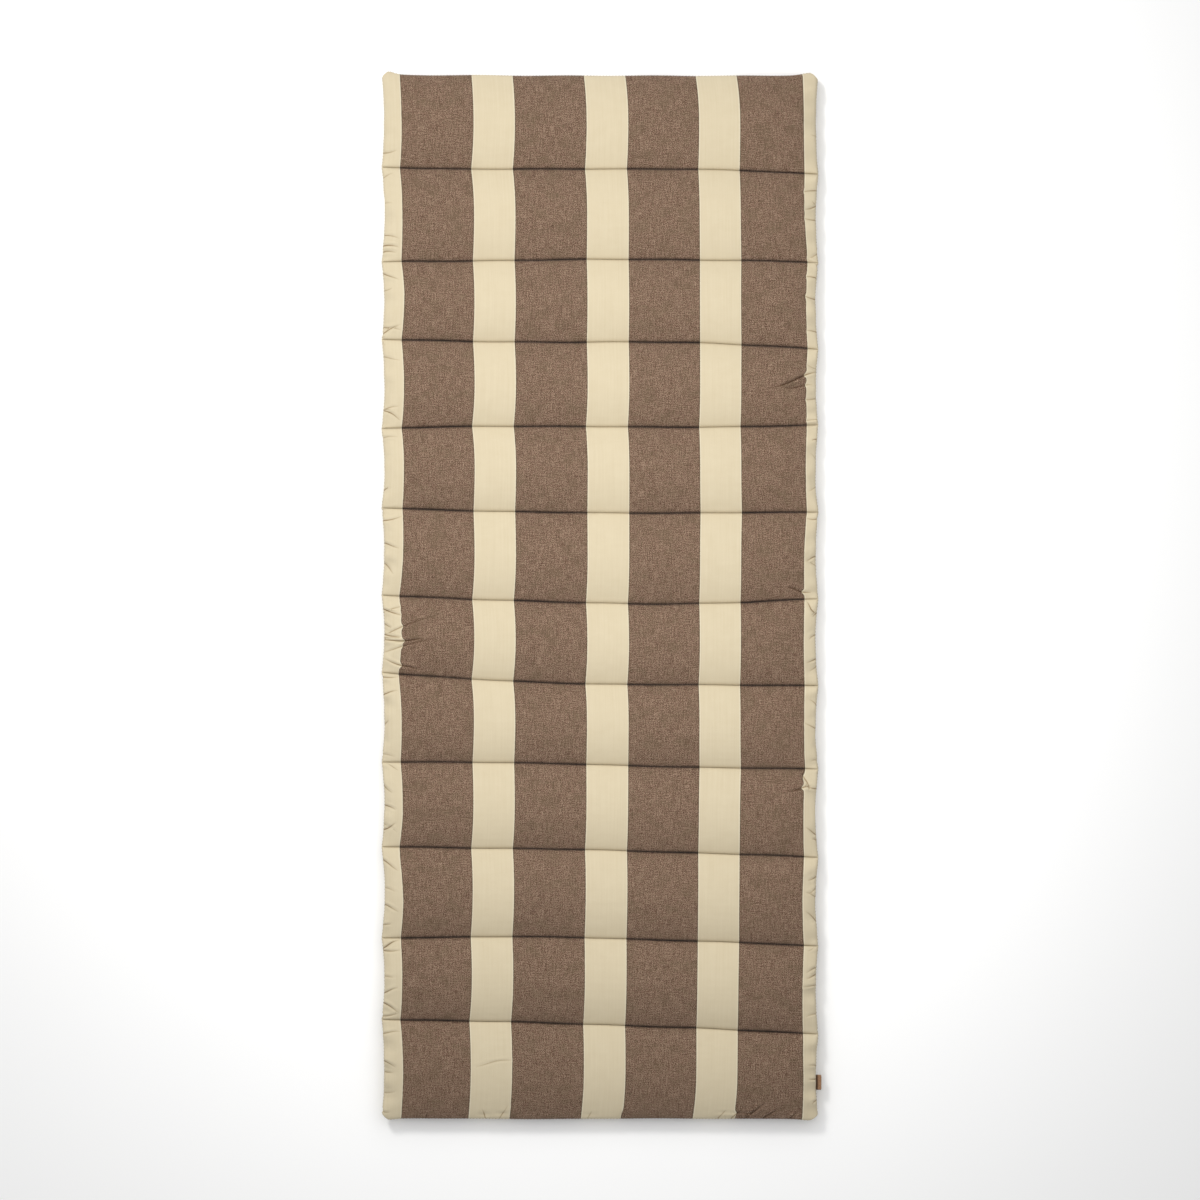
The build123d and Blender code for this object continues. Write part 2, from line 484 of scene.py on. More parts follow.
# %% Where the tucks are
# The large tucks: middle x and y (mm), direction (degrees), half length (mm), depth (mm)
left, right = -half_width * 1000, half_width * 1000
large_tucks = [
    (left, -18, -24, 40, 4),
    (left, -28, 20, 42, 2.5),
    (left + 36, -52, 22, 70, 2.2),
    (left, -62, -14, 40, 3.5),
    (left + 34, -74, 2, 42, 4.5),
    (left + 40, -84, 14, 60, 2),
    (left + 34, -117, -18, 36, 3),
    (left, 132, 12, 36, 3),
    (left, 467, -14, 36, 2.5),
    (left, 606, -6, 30, 3.5),
    (left, 455, 24, 36, 3),
    (left + 10, 318, -30, 26, 3),
    (left, 150, 16, 30, 3.5),
    (left, -285, -24, 32, 3),
    (left, -402, 30, 28, 3.5),
    (left + 10, -600, 24, 24, 4),
    (left, -530, -20, 32, 3),
    (left, -700, -28, 34, 3.5),
    (left, -722, 8, 30, 2.5),
    (left, -816, -14, 20, 2.5),
    (right - 40, 374, 200, 46, 4.5),
    (right - 36, 362, 186, 30, 2.5),
    (right, 675, 196, 26, 3),
    (right - 34, 12, 168, 26, 3.5),
    (right, 572, 150, 26, 3.5),
    (right, 300, 205, 24, 2.5),
    (right, 70, 200, 24, 3),
    (right - 10, -20, 130, 18, 3.5),
    (right - 20, -318, 110, 20, 3),
    (right - 30, -330, 190, 26, 3),
    (right, -410, 150, 26, 3),
    (right, -500, 210, 22, 2.5),
    (right, -560, 140, 30, 3),
    (right, -640, 196, 22, 2.5),
    (-195, -900, 118, 24, 3.5),
    (-172, -900, 66, 30, 3),
    (-182, -800, 10, 36, 1.5),
    (-20, -900, 75, 18, 2.5),
    (40, -900, 110, 20, 2.5),
    (205, -900, 60, 24, 3),
    (228, -900, 52, 34, 4),
    (252, -900, 46, 44, 4),
    (282, -900, 40, 34, 3),
    (330, -900, 60, 20, 3),
    (-300, -900, 80, 16, 2),
    (100, -900, 96, 16, 2),
    (-260, 900, -80, 16, 1.5),
    (120, 900, -100, 16, 1.5),
    (300, 900, -74, 20, 2.5),
]
small_tucks = (2, 5)  # from 2 to 4 more on each side of each channel, one at the head's
small_turn = 24  # degrees off square to the edge
small_length, small_depth = (12, 34), (1.4, 3.4)  # mm
tuck_seed = 31


def all_tucks():
    """The large tucks, and small seeded ones along both sides."""
    found = list(large_tucks)
    draw = np.random.default_rng(tuck_seed)
    for channel in range(channel_count):
        for side in (-1, 1):
            count = draw.integers(*small_tucks) if channel else 1
            for share in (np.arange(count) + draw.uniform(0.1, 0.9, count)) / count:
                y = row_y[channel] + (row_y[channel + 1] - row_y[channel]) * share
                turn = draw.normal(0, small_turn) + (180 if side > 0 else 0)
                size = draw.uniform(*small_length), draw.uniform(*small_depth)
                found.append((side * right, y * 1000, turn, *size))
    return found


tucks = all_tucks()
print("tucks:", len(tucks))

# %% [markdown]
# Sewing adds the rest: the cloth dives into a row over the last few millimetres, the edge
# seam holds two turned-in allowances and is nicked where a tuck runs into it, and a tuck
# draws the stripes along. Each is a move of the verts by a short formula, which is the same
# for both channels beside a row, so they still meet.

# %% Sewn-in details
row_dive = 4.5 * MM  # how far the cloth dives into a row
dive_reach = 1.1 * MM
# Painted shade: the brown beside a row is darkened within about this distance.
painted_row_shade_reach = 2 * MM  # the cloth beside a row is this much in the dark
lip = 1.4 * MM  # half the thickness of the edge seam
lip_reach = 1.0 * MM
floor_z = 0.3 * MM

tuck_width = 1.5 * MM
tuck_wave = 1.6 * MM  # a tuck isn't straight
ridges = ((0.5, 2.2, 1.7), (0.25, -2.8, 2.2))  # height, place and width, as shares of the tuck's
tuck_pull, pull_width = 1.5, 2.6  # how a tuck draws the stripes along
fold_reach = 5 * MM
# A tuck this deep gets the darkest painted crease shade.
full_fold = 3  # mm deep, for the darkest crease
no_fold = 9 * MM  # given where no fold is near
nick_share, nick_width, nick_reach = 0.55, 3 * MM, 10 * MM
calm_reach = 5 * MM  # a tuck fades out this near a row
seam_grip = 1.2 * MM  # and this near the edge seam
under_reach = 7 * MM  # on the underside it shows only this far in


def tuck_moves(x, y):
    """How far each point is pressed down and drawn along, how strong the nearest fold is and
    how far away, and how far the edge is nicked."""
    down, drawn, fold, nick = (np.zeros_like(x) for _ in range(4))
    gap = np.full_like(x, no_fold)
    for middle_x, middle_y, turn, length, depth in tucks:
        run_x, run_y = math.cos(math.radians(turn)), math.sin(math.radians(turn))
        off_x, off_y = x - middle_x * MM, y - middle_y * MM
        along = (off_x * run_x + off_y * run_y) / (length * MM)
        waver = tuck_wave * np.sin(3.5 * along + middle_y)
        across = (off_y * run_x - off_x * run_y + waver) / tuck_width
        fade = np.clip(1 - np.abs(along) ** 1.8, 0, 1)
        valley = np.exp(-(across**2))
        ridge = sum(
            height * np.exp(-(((across - place) / width) ** 2)) for height, place, width in ridges
        )
        down += depth * MM * fade * (valley - ridge)
        pull = tuck_pull * depth * MM * fade * np.exp(-((across / pull_width) ** 2))
        drawn -= pull * np.sign(run_x)
        # A fold's strength and the distance from its valley become the mask for painted crease
        # shade.
        strength = fade * np.exp(-((across * tuck_width / fold_reach) ** 2)) * depth / full_fold
        gap = np.where(strength > fold, across * tuck_width, gap)
        fold = np.maximum(fold, strength)
        if abs(middle_x) > right - 1:  # it starts at the edge
            outermost = off_x * middle_x > -0.02
            nick += nick_share * depth * MM * np.exp(-((off_y / nick_width) ** 2)) * outermost
    return down, drawn, np.minimum(fold, 1), gap, nick


def sewn_details(channel, side, points, steps):
    """Adds the dive into the rows, the edge seam's lips and the tucks, in place. Returns how far
    the stripes are drawn along, and the masks for the painted shade beside rows and folds.
    """
    u, t = np.meshgrid(fine_u, steps)
    depth = row_y[channel] - row_y[channel + 1]
    from_head, from_foot = t * depth, (1 - t) * depth
    from_side = (1 - np.abs(u)) * cut_half
    gaps = ((channel, from_head), (channel + 1, from_foot))
    from_row = np.minimum.reduce([gap for row, gap in gaps if not is_end(row)])
    from_edge = np.minimum.reduce([from_side] + [gap for row, gap in gaps if is_end(row)])
    down, drawn, fold, gap, nick = tuck_moves(points[..., 0], points[..., 1])
    calm = 1 - np.exp(-((from_row / calm_reach) ** 2))
    at_edge = np.exp(-from_edge / under_reach)
    press = down * calm * (1 if side > 0 else at_edge)
    press = press * (1 - np.exp(-from_edge / seam_grip))
    open_edge = 1 - np.exp(-from_edge / lip_reach)
    points[..., 0] -= np.sign(u) * nick * calm * np.exp(-from_side / nick_reach)
    points[..., 2] += side * row_dive * (1 - np.exp(-from_row / dive_reach)) * open_edge
    points[..., 2] += side * lip * open_edge
    points[..., 2] -= press
    if side < 0:
        points[..., 2] = np.maximum(points[..., 2], floor_z)
    # Painted shade beside each row: its strength varies along the row and fades within a few
    # millimetres.
    x = points[..., 0]
    nearest_row = channel + np.round(t)
    painted_row_shade_strength = 0.75 + 0.25 * np.sin(9 * x + nearest_row) * np.cos(23 * x)  # it varies along the row
    painted_row_shade = painted_row_shade_strength * np.exp(-((from_row / painted_row_shade_reach) ** 2))
    # The fold strength and gap are masks for the painted shade along a tuck's crease.
    fold = fold * calm * (1 if side > 0 else at_edge)
    return {"drawn": drawn * calm, "fold": fold, "fold_gap": gap, "painted_row_shade": painted_row_shade}


print("edge seam", round(2 * lip * 1000, 1), "mm thick")

# %% [markdown]
# ## Cloth
# The stripes are woven, so they belong to the cloth and not to the room: the material reads
# a UV map that holds each point's place on the flat cloth, in metres. Where the cloth is
# pulled or puckered, the stripes go with it. Three small node groups do the work.

# %% Helpers for node groups
def new_group(name, inputs, outputs):
    """An empty shader node group with float or vector sockets."""
    group = bpy.data.node_groups.new(name, "ShaderNodeTree")
    face = group.interface
    for label, kind, default in inputs:
        socket = face.new_socket(label, in_out="INPUT", socket_type=f"NodeSocket{kind}")
        if default is not None:
            socket.default_value = default
    for label, kind in outputs:
        face.new_socket(label, in_out="OUTPUT", socket_type=f"NodeSocket{kind}")
    return group, group.nodes.new("NodeGroupInput"), group.nodes.new("NodeGroupOutput")


def put(socket, value):
    """Links a socket to another one, or sets its value."""
    if isinstance(value, bpy.types.NodeSocket):
        socket.id_data.links.new(value, socket)
    elif value is not None:
        socket.default_value = value


def math_node(tree, operation, first, second=None, third=None):
    node = tree.nodes.new("ShaderNodeMath")
    node.operation = operation
    for socket, value in zip(node.inputs, (first, second, third)):
        put(socket, value)
    return node.outputs[0]


def map_range(tree, value, low, high, to_low=0.0, to_high=1.0):
    """A smooth step from one range to another."""
    node = tree.nodes.new("ShaderNodeMapRange")
    node.interpolation_type = "SMOOTHSTEP"
    for socket, given in zip(node.inputs, (value, low, high, to_low, to_high)):
        put(socket, given)
    return node.outputs[0]


def noise(tree, vector, scale, detail=2.0, roughness=0.5):
    """Noise whose cells are scale metres wide: one number, or a pair for across and along."""
    pair = scale if isinstance(scale, tuple) else (scale, scale)
    mapping = tree.nodes.new("ShaderNodeMapping")
    put(mapping.inputs["Vector"], vector)
    mapping.inputs["Scale"].default_value = (1 / pair[0], 1 / pair[1], 1)
    node = tree.nodes.new("ShaderNodeTexNoise")
    put(node.inputs["Vector"], mapping.outputs[0])
    node.inputs["Scale"].default_value = 1
    node.inputs["Detail"].default_value = detail
    node.inputs["Roughness"].default_value = roughness
    return node.outputs["Fac"]


def mix_colour(tree, factor, first, second, blend="MIX"):
    node = tree.nodes.new("ShaderNodeMix")
    node.data_type = "RGBA"
    node.blend_type = blend
    node.clamp_factor = True
    put(node.inputs[0], factor)
    put(node.inputs[6], first)
    put(node.inputs[7], second)
    return node.outputs[2]


# %% [markdown]
# **Yarns.** A plain weave is two sets of uneven yarns. Noise stretched along the length is
# the warp, noise stretched across is the weft, and a fine round noise is the flecks of the
# dyed fibres between them. The group gives a tone for colour and a height for relief.

# %% Node group: yarns
fleck_size = (1.25 * MM, 1.2 * MM)  # across and along
warp_size = (1.5 * MM, 26 * MM)
weft_size = (16 * MM, 1.5 * MM)
fleck_share, warp_share, weft_share = 0.73, 0.13, 0.14
crossing_share = 0.35  # of yarns passing over and under each other


def make_yarn_group():
    inputs = [("Cloth place", "Vector", None), ("Yarn width", "Float", 0.0012)]
    group, given, result = new_group("yarns", inputs, [("Tone", "Float"), ("Height", "Float")])
    place = given.outputs["Cloth place"]
    flecks = noise(group, place, fleck_size, 1.5, 0.65)
    warp = noise(group, place, warp_size, 1.0, 0.6)
    weft = noise(group, place, weft_size, 1.0, 0.6)
    weft = math_node(group, "MULTIPLY", weft, weft_share)
    yarns = math_node(group, "MULTIPLY_ADD", warp, warp_share, weft)
    tone = math_node(group, "MULTIPLY_ADD", flecks, fleck_share, yarns)
    turns = math_node(group, "DIVIDE", 2 * math.pi, given.outputs["Yarn width"])
    split = group.nodes.new("ShaderNodeSeparateXYZ")
    put(split.inputs[0], place)
    over = math_node(group, "SINE", math_node(group, "MULTIPLY", split.outputs[0], turns))
    under = math_node(group, "SINE", math_node(group, "MULTIPLY", split.outputs[1], turns))
    crossing = math_node(group, "MULTIPLY", over, under)
    put(result.inputs["Tone"], tone)
    height = math_node(group, "MULTIPLY_ADD", crossing, crossing_share, tone)
    put(result.inputs["Height"], height)
    return group


yarn_group = make_yarn_group()
print("yarns group:", len(yarn_group.nodes), "nodes")

# %% [markdown]
# **Stripes.** Four brown stripes on a cream ground. The distance to the nearest stripe's
# edge, negative inside it, gives the stripe itself and the thin lines on either side of its
# edge, where the last brown warp yarn and the first cream one lie bare.

# %% Node group: stripes
brown_stripes = [(-347, -221.5), (-149, -23), (50, 174.5), (246.5, 360)]  # mm from the middle
edge_line = 1.4 * MM  # the thin line on each side of a stripe's edge
ragged_size = (1.5 * MM, 3 * MM)
ragged_by = 1.0 * MM
stripe_soft, line_soft = 0.4 * MM, 0.6 * MM  # half the width over which each fades


def make_stripe_group():
    outputs = [("Brown", "Float"), ("Dark line", "Float"), ("Light line", "Float")]
    group, given, result = new_group("woven stripes", [("Cloth place", "Vector", None)], outputs)
    split = group.nodes.new("ShaderNodeSeparateXYZ")
    put(split.inputs[0], given.outputs["Cloth place"])
    ragged = noise(group, given.outputs["Cloth place"], ragged_size, 1.0)
    across = math_node(group, "MULTIPLY_ADD", ragged, ragged_by, split.outputs[0])
    nearest = None
    for start, end in brown_stripes:
        offset = math_node(group, "SUBTRACT", across, (start + end) / 2 * MM)
        away = math_node(group, "ABSOLUTE", offset)
        edge = math_node(group, "SUBTRACT", away, (end - start) / 2 * MM)
        nearest = edge if nearest is None else math_node(group, "MINIMUM", nearest, edge)
    brown = map_range(group, nearest, -stripe_soft, stripe_soft, 1.0, 0.0)
    inside = map_range(group, nearest, -edge_line - line_soft, -edge_line + line_soft)
    outside = map_range(group, nearest, edge_line - line_soft, edge_line + line_soft, 1.0, 0.0)
    put(result.inputs["Brown"], brown)
    put(result.inputs["Dark line"], inside)
    put(result.inputs["Light line"], outside)
    return group


stripe_group = make_stripe_group()
print("stripes group:", len(stripe_group.nodes), "nodes")

# %% [markdown]
# **Building a material.** Every finish here starts from one matt shader. A ramp turns a
# group's tone into yarn colours, and a Bump node turns its height into relief.

# %% Helpers for materials
def group_node(tree, group, **values):
    node = tree.nodes.new("ShaderNodeGroup")
    node.node_tree = group
    for name, value in values.items():
        put(node.inputs[name.replace("_", " ")], value)
    return node


def ramp(tree, factor, stops):
    node = tree.nodes.new("ShaderNodeValToRGB")
    put(node.inputs[0], factor)
    points = node.color_ramp.elements
    while len(points) < len(stops):
        points.new(0.5)
    for point, (position, colour) in zip(points, stops):
        point.position = position
        point.color = (*colour, 1)
    return node.outputs[0]


def new_material(name, roughness, sheen=0.0):
    """A matt material, its node tree and its shader."""
    material = bpy.data.materials.new(name)
    material.use_nodes = True
    shader = material.node_tree.nodes["Principled BSDF"]
    shader.inputs["Roughness"].default_value = roughness
    shader.inputs["Sheen Weight"].default_value = sheen
    shader.inputs["Specular IOR Level"].default_value = 0.2
    return material, material.node_tree, shader


def relief(tree, shader, height, strength, distance):
    bump = tree.nodes.new("ShaderNodeBump")
    bump.inputs["Strength"].default_value = strength
    bump.inputs["Distance"].default_value = distance
    put(bump.inputs["Height"], height)
    put(shader.inputs["Normal"], bump.outputs[0])


def attribute(tree, name):
    node = tree.nodes.new("ShaderNodeAttribute")
    node.attribute_name = name
    return node.outputs["Fac"]


def cloth_place(tree):
    """Each point's place on the flat cloth, from the piece's own UV map."""
    uv = tree.nodes.new("ShaderNodeUVMap")
    uv.uv_map = "cloth"
    return uv.outputs[0]


# %% [markdown]
# ** Striped cotton.** The brown is a mottled weave of brown and pale yarns, the cream is
# smooth. Both drift a little in hue over a few centimetres. Shade is painted in as well:
# the brown is painted darker where it dives into a row, and a thin line of painted shade
# runs along a tuck's valley. Cotton is matt, with a trace of fuzz that sheen stands for.

# %% Material: striped cotton
dark_yarn, brown_yarn = (0.033, 0.016, 0.010), (0.121, 0.063, 0.040)
pale_yarn = (0.36, 0.26, 0.185)
yarn_stops = [(0.405, dark_yarn), (0.49, brown_yarn), (0.595, pale_yarn)]
olive_yarn = (0.112, 0.080, 0.046, 1)
dull_cream, bright_cream = (0.514, 0.440, 0.305), (0.555, 0.484, 0.346)
last_brown, first_cream = (0.070, 0.050, 0.028, 1), (0.68, 0.63, 0.50, 1)
# Painted shade along a tuck's crease, multiplied into the cloth's colour.
crease_shade = (0.40, 0.30, 0.20, 1)
# Painted shade beside the rows: the brown is multiplied towards this colour, by this share.
painted_row_shade_colour = (0.17, 0.11, 0.07, 1)
painted_row_shade_share = 0.9
# The painted crease shade is this wide on each side of a fold's valley.
fold_line = 0.9 * MM  # half the width of a crease


def make_brown(tree, place, tone):
    """The brown yarns, with olive ones among them in specks and in patches."""
    brown = ramp(tree, tone, yarn_stops)
    dye = noise(tree, place, (3.5 * MM, 7 * MM), 2.0)
    brown = mix_colour(tree, map_range(tree, dye, 0.45, 0.75, 0.0, 0.55), brown, olive_yarn)
    patches = noise(tree, place, (34 * MM, 26 * MM), 3.0)
    return mix_colour(tree, map_range(tree, patches, 0.45, 0.7, 0.0, 0.35), brown, olive_yarn)


def make_cream(tree, place, tone):
    """The cream, with long streaks along the warp and slubs."""
    streaks = noise(tree, place, (3 * MM, 150 * MM), 2.0, 0.6)
    slubs = noise(tree, place, (26 * MM, 20 * MM), 3.0)
    slubs = math_node(tree, "MULTIPLY", slubs, 0.4)
    uneven = math_node(tree, "MULTIPLY_ADD", streaks, 0.6, slubs)
    uneven = math_node(tree, "MULTIPLY", uneven, 0.6)
    uneven = math_node(tree, "MULTIPLY_ADD", tone, 0.4, uneven)
    return ramp(tree, uneven, [(0.36, dull_cream), (0.64, bright_cream)])


def crease(tree):
    """The mask of the painted shade along a tuck's crease: 1 along the middle of a fold, 0 away
    from it.
    """
    gap = math_node(tree, "DIVIDE", attribute(tree, "fold_gap"), fold_line)
    square = math_node(tree, "MULTIPLY", gap, gap)
    line = math_node(tree, "EXPONENT", math_node(tree, "MULTIPLY", square, -1.0))
    return math_node(tree, "MULTIPLY", line, attribute(tree, "fold"))


def make_cotton():
    material, tree, shader = new_material("striped_cotton", 0.9, 0.08)
    place = cloth_place(tree)
    yarns = group_node(tree, yarn_group, Cloth_place=place)
    stripes = group_node(tree, stripe_group, Cloth_place=place)
    brown = make_brown(tree, place, yarns.outputs["Tone"])
    cream = make_cream(tree, place, yarns.outputs["Tone"])
    dark_line = math_node(tree, "MULTIPLY", stripes.outputs["Dark line"], 0.6)
    light_line = math_node(tree, "MULTIPLY", stripes.outputs["Light line"], 0.5)
    brown = mix_colour(tree, dark_line, brown, last_brown)
    cream = mix_colour(tree, light_line, cream, first_cream)
    cloth = mix_colour(tree, stripes.outputs["Brown"], cream, brown)
    # Painted shade: the brown beside each row is darkened.
    painted_row_shade = math_node(tree, "MULTIPLY", stripes.outputs["Brown"], attribute(tree, "painted_row_shade"))
    painted_row_shade = math_node(tree, "MULTIPLY", painted_row_shade, painted_row_shade_share)
    cloth = mix_colour(tree, painted_row_shade, cloth, painted_row_shade_colour, "MULTIPLY")
    # Painted shade along the tucks' creases.
    cloth = mix_colour(tree, crease(tree), cloth, crease_shade, "MULTIPLY")
    put(shader.inputs["Base Color"], cloth)
    relief(tree, shader, yarns.outputs["Height"], 0.35, 0.35 * MM)
    return material


cotton = make_cotton()
print("striped cotton:", len(cotton.node_tree.nodes), "nodes")

# %% [markdown]
# ** Covers.** Each channel's cloth is one closed pillow over the CAD panels and fill. The
# last channel's cloth rides on the last body; the others are left on no body, as built.

# %% Build the covers
edge_lines = {}  # each channel's four edges, for the seam thread


def bend_to_next(piece, channel):
    """Puts a piece of the last channel on the last body; any other piece only gets its transform
    baked in.
    """
    if channel == channel_count - 1:
        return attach(piece, bodies[channel])
    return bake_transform(piece)


def cloth_map(piece, channel, steps, details):
    """The UV map: each point's place on the flat cloth, in metres. The masks for the painted
    shade beside the rows and along the folds are attributes.
    """
    column, step, side, _ = place_values(piece.data)
    x = fine_u[column] * cut_half

    def both(name):
        top, under = (details[sheet][name][step, column] for sheet in (1, -1))
        return np.where(side > 0, top, under)

    for name in ("fold", "fold_gap", "painted_row_shade"):
        layer = piece.data.attributes.new(name, "FLOAT", "POINT")
        layer.data.foreach_set("value", both(name).astype(np.float32))
    flat = np.stack([x + both("drawn"), channel_y(channel, x, steps[step]) * (1 + ease)], -1)
    corner = np.zeros(len(piece.data.loops), np.int32)
    piece.data.loops.foreach_get("vertex_index", corner)
    layer = piece.data.uv_layers.new(name="cloth")
    layer.data.foreach_set("uv", flat[corner].ravel())


def make_cover(channel):
    steps = fine_steps(channel)
    sheets, details = {}, {}
    for side in (1, -1):
        sheets[side] = finer(channel, side, steps)
        details[side] = sewn_details(channel, side, sheets[side], steps)
    edge_lines[channel] = [sheets[1][:, 0], sheets[1][:, -1], sheets[1][0], sheets[1][-1]]
    bm = bmesh.new()
    add_pillow(bm, channel, len(fine_u), len(steps), lambda side: sheets[side])
    piece = to_object(bm, f"{bodies[channel]}_cover")
    cloth_map(piece, channel, steps, details)
    for name in PLACE_LAYERS:
        piece.data.attributes.remove(piece.data.attributes[name])
    piece.data.materials.append(cotton)
    number = f"{channel + 1:02d}"
    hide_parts(f"top_panel_{number}", f"bottom_panel_{number}", f"fibre_fill_{number}")
    return bend_to_next(piece, channel)


covers = [make_cover(channel) for channel in range(channel_count)]
print("covers:", sum(len(cover.data.polygons) for cover in covers) * 2, "triangles")

# %% [markdown]
# ## Thread
# A lockstitch shows as a line of short, slightly sunk lozenges. One stitch is a squashed
# icosphere, and a row is copies of it laid end to end along the line that the cloth follows.

# %% Stitches
def along_line(points, pitch):
    """(place, direction) every pitch along a line of points."""
    gaps = np.linalg.norm(np.diff(points, axis=0), axis=1)
    far = np.concatenate([[0], np.cumsum(gaps)])
    marks = np.arange(pitch / 2, far[-1], pitch)

    def spots(where):
        return np.stack([np.interp(where, far, points[:, axis]) for axis in range(3)], -1)

    return zip(spots(marks), spots(marks + pitch / 4) - spots(marks - pitch / 4))


def one_stitch(size):
    bm = bmesh.new()
    bmesh.ops.create_icosphere(bm, subdivisions=1, radius=0.5)
    bmesh.ops.scale(bm, vec=size, verts=bm.verts)
    mesh = bpy.data.meshes.new("stitch")
    bm.to_mesh(mesh)
    bm.free()
    return mesh


def sew(bm, stitch, points, pitch, lift):
    """Adds a stitch every pitch along the points, lifted by a vector."""
    for spot, direction in along_line(points, pitch):
        first = len(bm.verts)
        bm.from_mesh(stitch)
        bm.verts.ensure_lookup_table()
        turn = Vector(direction).to_track_quat("X", "Z").to_matrix().to_4x4()
        place = Matrix.Translation(Vector(spot) + lift) @ turn
        bmesh.ops.transform(bm, matrix=place, verts=bm.verts[first:])


# %% [markdown]
# The thread is dark brown twisted cotton. A small noise is enough for its twist, and it
# reads Object coordinates, because a stitch has no cloth map.

# %% Row thread
thread_dark, thread_light = (0.055, 0.032, 0.016), (0.150, 0.100, 0.056)
stitch_pitch = 4.6 * MM
stitch_lift = 0.1 * MM  # the top's stitches from the row's line, and the underside's below it
row_stitch = one_stitch((4.1 * MM, 0.8 * MM, 0.75 * MM))


def make_thread():
    material, tree, shader = new_material("quilting_thread", 0.7, 0.15)
    place = tree.nodes.new("ShaderNodeTexCoord").outputs["Object"]
    twist = noise(tree, place, 0.9 * MM, 1.0)
    colour = ramp(tree, twist, [(0.3, thread_dark), (0.7, thread_light)])
    put(shader.inputs["Base Color"], colour)
    relief(tree, shader, twist, 0.5, 0.2 * MM)
    return material


thread_material = make_thread()


def make_row_thread(row):
    """Both sides' stitches of one sewn row. It rides on the body on the row's foot side."""
    line = through(grids[row, 0, 0], sim_u, fine_u)
    bm = bmesh.new()
    for lift in (stitch_lift, -stitch_lift):
        sew(bm, row_stitch, line, stitch_pitch, Vector((0, 0, lift)))
    piece = to_object(bm, f"row_{row:02d}_thread")
    piece.data.materials.append(thread_material)
    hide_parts(f"quilting_seam_{row:02d}")
    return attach(piece, bodies[row])


row_threads = [make_row_thread(row) for row in range(1, channel_count)]
print("row thread:", sum(len(thread.data.polygons) for thread in row_threads), "triangles")

# %% [markdown]
# The edge seam is turned, so of its thread only short glints show in the groove between the
# two lips. They are smaller stitches along the edge of each cover.

# %% Edge seam thread
edge_pitch = 5.5 * MM
edge_stitch = one_stitch((2.6 * MM, 0.7 * MM, 0.7 * MM))


def make_edge_thread(channel):
    bm = bmesh.new()
    left_edge, right_edge, head_edge, foot_edge = edge_lines[channel]
    runs = [left_edge, right_edge]
    if channel == 0:
        runs.append(head_edge)
    if channel == channel_count - 1:
        runs.append(foot_edge)
    for run in runs:
        sew(bm, edge_stitch, run, edge_pitch, Vector((0, 0, 0)))
    piece = to_object(bm, f"{bodies[channel]}_edge_thread")
    piece.data.materials.append(thread_material)
    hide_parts(f"edge_seam_{channel + 1:02d}")
    return bend_to_next(piece, channel)


edge_threads = [make_edge_thread(channel) for channel in range(channel_count)]
print("edge thread:", sum(len(thread.data.polygons) for thread in edge_threads), "triangles")

# %% [markdown]
# ## Tag
# A short piece of woven tape, folded double, with both ends caught in the right edge seam.
# It is woven from finer yarn than the cloth and carries no mark. Beside the seam it is
# painted darker, as shade.

# %% Material: tag tape
tape_dark, tape_light = (0.17, 0.085, 0.042), (0.36, 0.21, 0.12)
# Painted shade on the tape beside the seam: its colour, where it starts from the fold, and how
# softly it fades in.
painted_seam_shade = (0.30, 0.28, 0.26, 1)
seam_shade_start = 6 * MM  # from the tag's fold to the dark border beside the seam
seam_shade_soft = 0.8 * MM


def make_tag_tape():
    material, tree, shader = new_material("tag_tape", 0.75, 0.1)
    place = cloth_place(tree)
    yarns = group_node(tree, yarn_group, Cloth_place=place, Yarn_width=0.8 * MM)
    colour = ramp(tree, yarns.outputs["Tone"], [(0.38, tape_dark), (0.62, tape_light)])
    parts = tree.nodes.new("ShaderNodeSeparateXYZ")
    put(parts.inputs[0], place)
    # The tape is painted darker beside the seam, as shade.
    from_fold = math_node(tree, "ABSOLUTE", parts.outputs[0])
    seam_shade_mask = map_range(tree, from_fold, seam_shade_start, seam_shade_start + seam_shade_soft)
    put(shader.inputs["Base Color"], mix_colour(tree, seam_shade_mask, colour, painted_seam_shade, "MULTIPLY"))
    relief(tree, shader, yarns.outputs["Height"], 0.6, 0.3 * MM)
    return material


tag_tape = make_tag_tape()
print("tag tape:", len(tag_tape.node_tree.nodes), "nodes")

# %% [markdown]
# The tape starts as a flat grid, each vert is bent round the fold by its distance along it,
# and Solidify gives it its thickness. A handled tag curls, leans and narrows at its fold.

# %% Side tag
tag_low, tag_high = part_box("side_tag")
tag_half = (tag_high.y - tag_low.y) / 2
tag_y = (tag_high.y + tag_low.y) / 2
tag_thickness = 0.55 * MM
tag_curl = 1.8 * MM  # a curled tag reaches this much less far
tag_root = 6 * MM  # caught in the seam
fold_radius = 0.75 * MM
fold_taper = 0.16
tag_lean, tag_rise = 0.4 * MM, 0.6 * MM


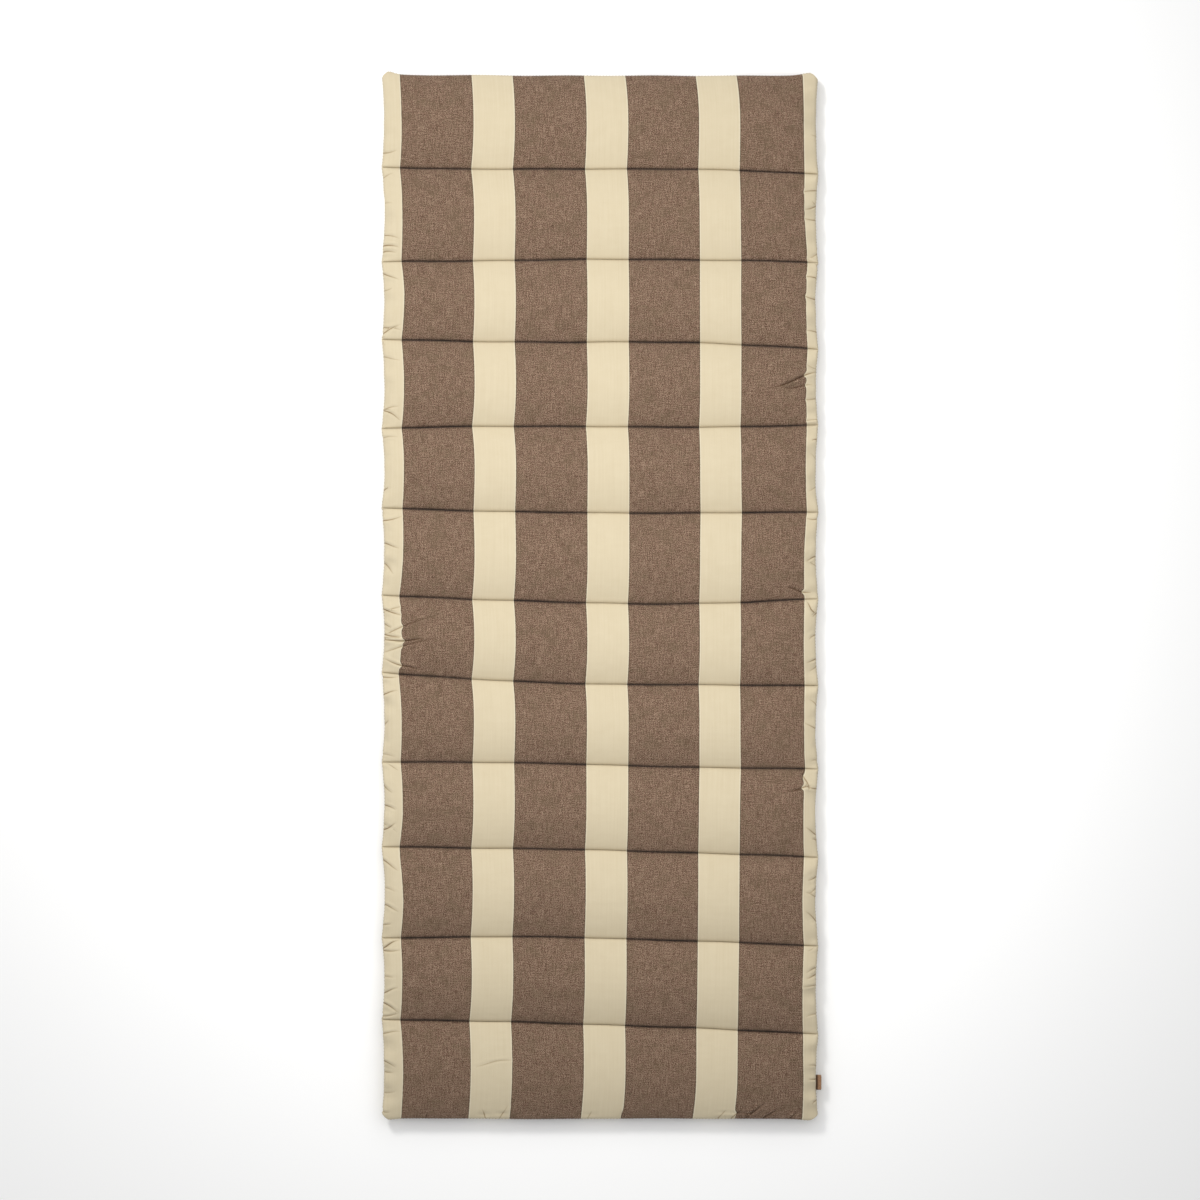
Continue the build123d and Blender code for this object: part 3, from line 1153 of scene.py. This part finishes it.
def make_tag():
    edge = edge_lines[channel_count - 1][1]
    spot = edge[np.argmin(np.abs(edge[:, 1] - tag_y))]
    out = tag_high.x - tag_curl - spot[0] - fold_radius
    half_tape = out + tag_root + fold_radius * math.pi / 2
    bm = bmesh.new()
    bmesh.ops.create_grid(bm, x_segments=36, y_segments=10, size=0.5)
    layer = bm.loops.layers.uv.new("cloth")
    for face in bm.faces:
        for loop in face.loops:
            loop[layer].uv = (loop.vert.co.x * 2 * half_tape, loop.vert.co.y * 2 * tag_half)
    for vert in bm.verts:
        far, wide = vert.co.x * 2 * half_tape, vert.co.y * 2
        turned = np.clip(far / fold_radius, -math.pi / 2, math.pi / 2)
        straight = max(0, abs(far) - fold_radius * math.pi / 2)
        x = spot[0] + out + fold_radius * math.cos(turned) - straight
        z = spot[2] + fold_radius * math.sin(turned) - tag_rise * straight / out
        taper = 1 - fold_taper * math.cos(turned) ** 2
        lean = tag_lean * math.sin(3 * wide)
        vert.co = (x, tag_y + wide * tag_half * taper, z + lean)
    piece = to_object(bm, "side_tag_tape")
    piece.data.materials.append(tag_tape)
    thick = piece.modifiers.new("tape", "SOLIDIFY")
    thick.thickness = tag_thickness
    thick.offset = 0
    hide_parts("side_tag")
    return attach(piece, bodies[-1])


tag = make_tag()
print("tag:", len(tag.data.polygons), "faces, at y", round(tag_y, 4), "m")

# %% [markdown]
# ## Room
# A pale floor in an even white surround. A wide lamp right overhead stops short of the
# foot, so the light falls off there, and a small one from the head's left side draws the
# shadows.

# %% Floor and lights
floor_white = (0.95, 0.955, 0.96, 1)
floor_reach = 8  # metres from its middle to each side
surround_strength = 0.58
# Each lamp: name, place, target, size, watts, colour
overhead = ("overhead", (0.02, 0.2, 0.85), (0.02, 0.2, 0), (1.4, 1.9), 9.6, (1.0, 0.99, 0.97))
window = ("window", (-1.5, 2.1, 2.7), (0, 0.1, 0), (0.7, 0.7), 58, (1.0, 0.985, 0.96))


def make_floor():
    bm = bmesh.new()
    bmesh.ops.create_grid(bm, x_segments=1, y_segments=1, size=floor_reach)
    floor = to_object(bm, "floor")
    material, _, shader = new_material("floor_paint", 0.9)
    shader.inputs["Base Color"].default_value = floor_white
    floor.data.materials.append(material)


def add_lamp(name, place, target, size, watts, colour):
    lamp = bpy.data.lights.new(name, "AREA")
    lamp.shape = "RECTANGLE"
    lamp.size, lamp.size_y = size
    lamp.energy = watts
    lamp.color = colour
    holder = bpy.data.objects.new(name, lamp)
    aim = Vector(target) - Vector(place)
    holder.location = place
    holder.rotation_euler = aim.to_track_quat("-Z", "Y").to_euler()
    holder.visible_camera = False
    bpy.context.scene.collection.objects.link(holder)


make_floor()
world = bpy.data.worlds.new("surround")
bpy.context.scene.world = world
world.use_nodes = True
background = world.node_tree.nodes["Background"]
background.inputs["Color"].default_value = (1.0, 1.0, 1.0, 1)
background.inputs["Strength"].default_value = surround_strength
for lamp in (overhead, window):
    add_lamp(*lamp)
print("lamps:", overhead[4], "W overhead,", window[4], "W from the head's left")

# %% [markdown]
# The camera looks straight down from high up, with a long lens, so that the two ends show
# hardly any perspective.

# %% Camera
camera_height = 5.0
frame_width = 2.072  # metres that the view takes in
camera_y = -5 * MM
camera = bpy.data.cameras.new("camera")
camera.sensor_width = 36
camera.lens = camera.sensor_width * camera_height / frame_width
camera.clip_end = 100
eye = bpy.data.objects.new("camera", camera)
eye.location = (0, camera_y, camera_height + crown_z / 2)
bpy.context.scene.collection.objects.link(eye)
bpy.context.scene.camera = eye
bpy.context.scene.view_settings.view_transform = "Standard"
print("camera lens, mm:", round(camera.lens, 1))
